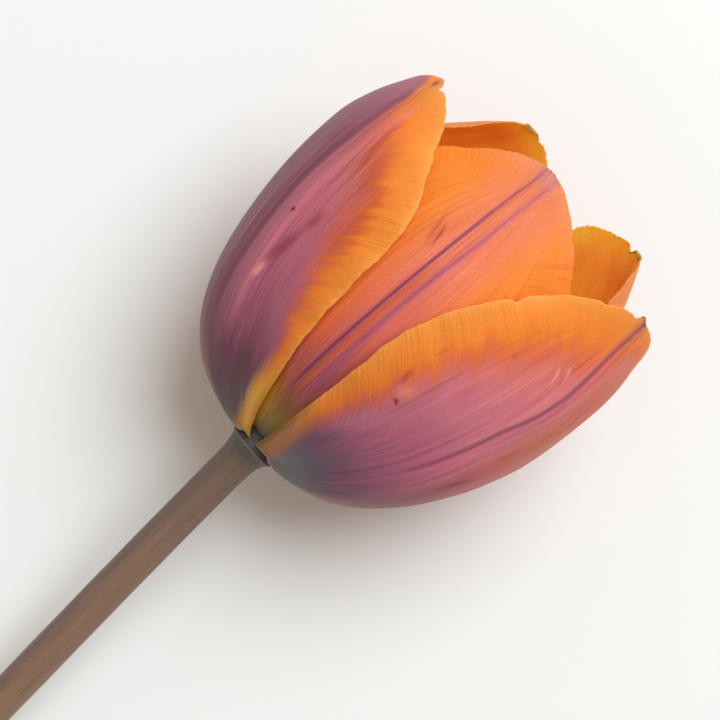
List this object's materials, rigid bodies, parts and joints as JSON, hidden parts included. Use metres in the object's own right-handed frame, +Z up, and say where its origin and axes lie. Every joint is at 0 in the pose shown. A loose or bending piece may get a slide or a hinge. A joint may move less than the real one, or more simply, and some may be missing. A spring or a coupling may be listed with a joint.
{
  "type": "tulip flower",
  "caption": "Cut tulip lying on its side: a cup of overlapping tepals round a pistil and stamens, on a short bent stem.",
  "frame": {"origin": "on the floor, under the centre of the bounding box", "axes": "+X from the cut end of the stem to the tips of the tepals, +Z up from the floor the flower lies on"},
  "size_m": [0.1664, 0.0676, 0.0596],
  "materials": {
    "stem": "satin",
    "outer_tepal": "satin",
    "inner_tepal": "satin",
    "pistil": "satin",
    "filament": "satin",
    "anther": "matte"
  },
  "bodies": {
    "root": {"stem": "stem", "outer_tepal_left": "outer_tepal", "outer_tepal_right": "outer_tepal", "outer_tepal_under": "outer_tepal", "inner_tepal_top": "inner_tepal", "inner_tepal_left": "inner_tepal", "inner_tepal_right": "inner_tepal", "pistil": "pistil", "filament_1": "filament", "filament_2": "filament", "filament_3": "filament", "filament_4": "filament", "filament_5": "filament", "filament_6": "filament", "anther_1": "anther", "anther_2": "anther", "anther_3": "anther", "anther_4": "anther", "anther_5": "anther", "anther_6": "anther"}
  },
  "joints": []
}
